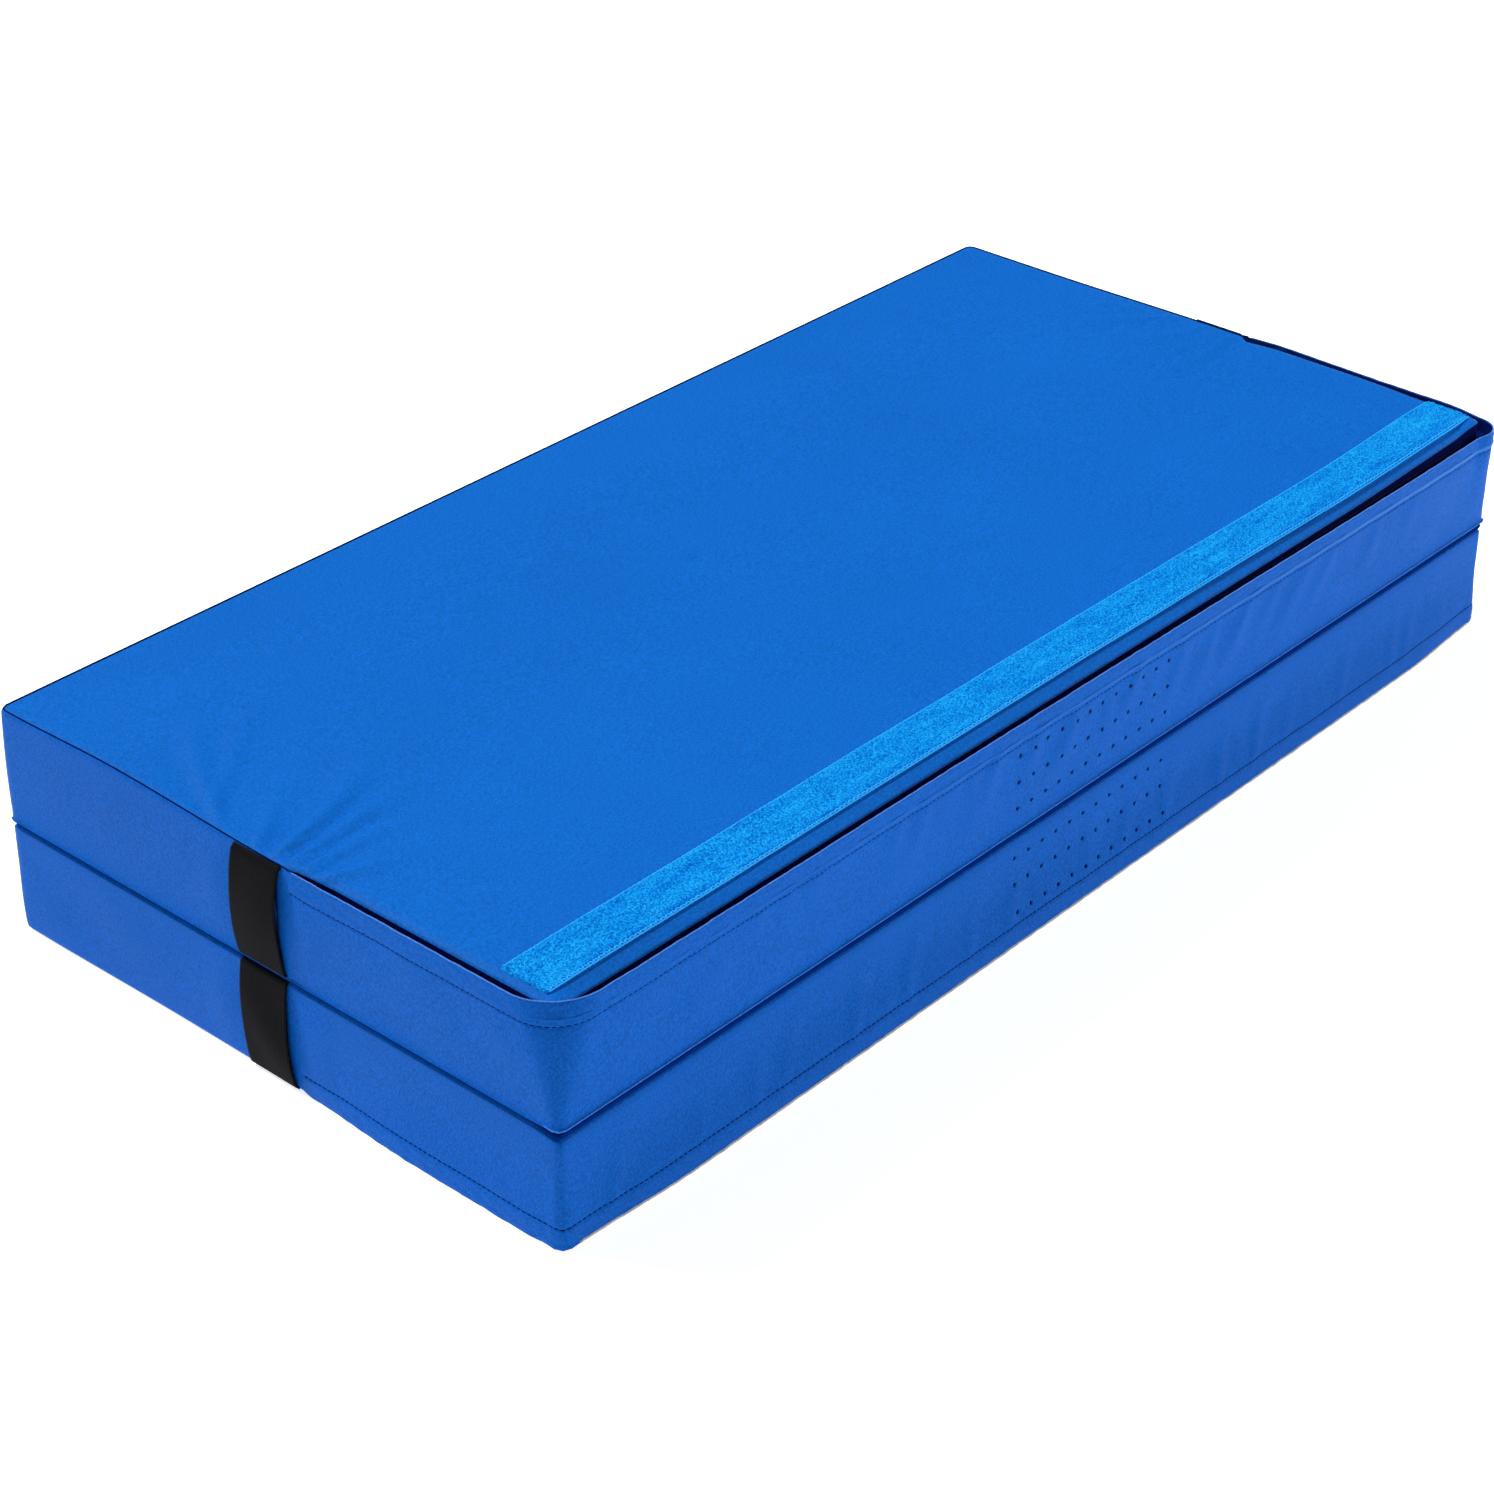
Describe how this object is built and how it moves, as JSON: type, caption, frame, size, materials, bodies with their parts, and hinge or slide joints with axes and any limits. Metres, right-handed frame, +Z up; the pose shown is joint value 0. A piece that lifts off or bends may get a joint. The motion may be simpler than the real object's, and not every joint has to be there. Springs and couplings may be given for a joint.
{
  "type": "folding gymnastics mat",
  "caption": "Two thick foam cushions in zipped fabric covers, joined by a fabric hinge along one long edge so that they stack or open flat, with webbing handles.",
  "frame": {"origin": "centre of the face that rests on the floor, with the mat folded", "axes": "+Z up, +X along the mat's length, -Y towards the zipped front edge and +Y towards the hinged back edge"},
  "size_m": [1.2212, 0.6013, 0.2012],
  "materials": {
    "cover_fabric": "matte vinyl-coated fabric, royal blue",
    "foam": "open-cell foam, dark charcoal",
    "webbing": "woven polypropylene webbing, black",
    "loop_tape": "brushed loop tape, bright blue",
    "zip_tape": "woven zip tape, black",
    "zip_coil": "nylon coil, black",
    "zip_metal": "dark enamelled zinc"
  },
  "bodies": {
    "lower_cushion": {"lower_foam_core": "foam", "lower_inner_panel": "cover_fabric", "lower_outer_panel": "cover_fabric", "lower_front_wall": "cover_fabric", "lower_rear_wall": "cover_fabric", "lower_zip_chain": "zip_coil", "lower_zip_tape_wall": "zip_tape", "lower_zip_tape_panel": "zip_tape", "lower_zip_stop_left": "zip_metal", "lower_zip_stop_right": "zip_metal", "lower_handle_left": "webbing", "lower_handle_right": "webbing", "lower_hinge_tape": "cover_fabric"},
    "upper_cushion": {"upper_foam_core": "foam", "upper_inner_panel": "cover_fabric", "upper_outer_panel": "cover_fabric", "upper_front_wall": "cover_fabric", "upper_rear_wall": "cover_fabric", "upper_zip_chain": "zip_coil", "upper_zip_tape_wall": "zip_tape", "upper_zip_tape_panel": "zip_tape", "upper_zip_stop_left": "zip_metal", "upper_zip_stop_right": "zip_metal", "upper_handle_left": "webbing", "upper_handle_right": "webbing", "upper_hinge_tape": "cover_fabric", "upper_loop_strip": "loop_tape"},
    "lower_slider": {"lower_zip_slider": "zip_metal"},
    "lower_pull": {"lower_zip_pull": "zip_metal"},
    "upper_slider": {"upper_zip_slider": "zip_metal"},
    "upper_pull": {"upper_zip_pull": "zip_metal"}
  },
  "joints": [
    {"name": "panel_fold", "type": "hinge", "parent": "lower_cushion", "child": "upper_cushion", "pos_m": [0, 0.3015, 0.0997], "axis": [-1, 0, 0], "range_deg": [0, 180]},
    {"name": "upper_zip_travel", "type": "slide", "parent": "upper_cushion", "child": "upper_slider", "axis": [0, -1, 0], "range_m": [0, 0.2]},
    {"name": "upper_pull_turn", "type": "hinge", "parent": "upper_slider", "child": "upper_pull", "pos_m": [0.5925, -0.045, 0.1874], "axis": [-1, 0, 0], "range_deg": [0, 110]},
    {"name": "lower_zip_travel", "type": "slide", "parent": "lower_cushion", "child": "lower_slider", "axis": [0, -1, 0], "range_m": [0, 0.2]},
    {"name": "lower_pull_turn", "type": "hinge", "parent": "lower_slider", "child": "lower_pull", "pos_m": [0.5925, -0.045, 0.012], "axis": [1, 0, 0], "range_deg": [0, 110]}
  ]
}
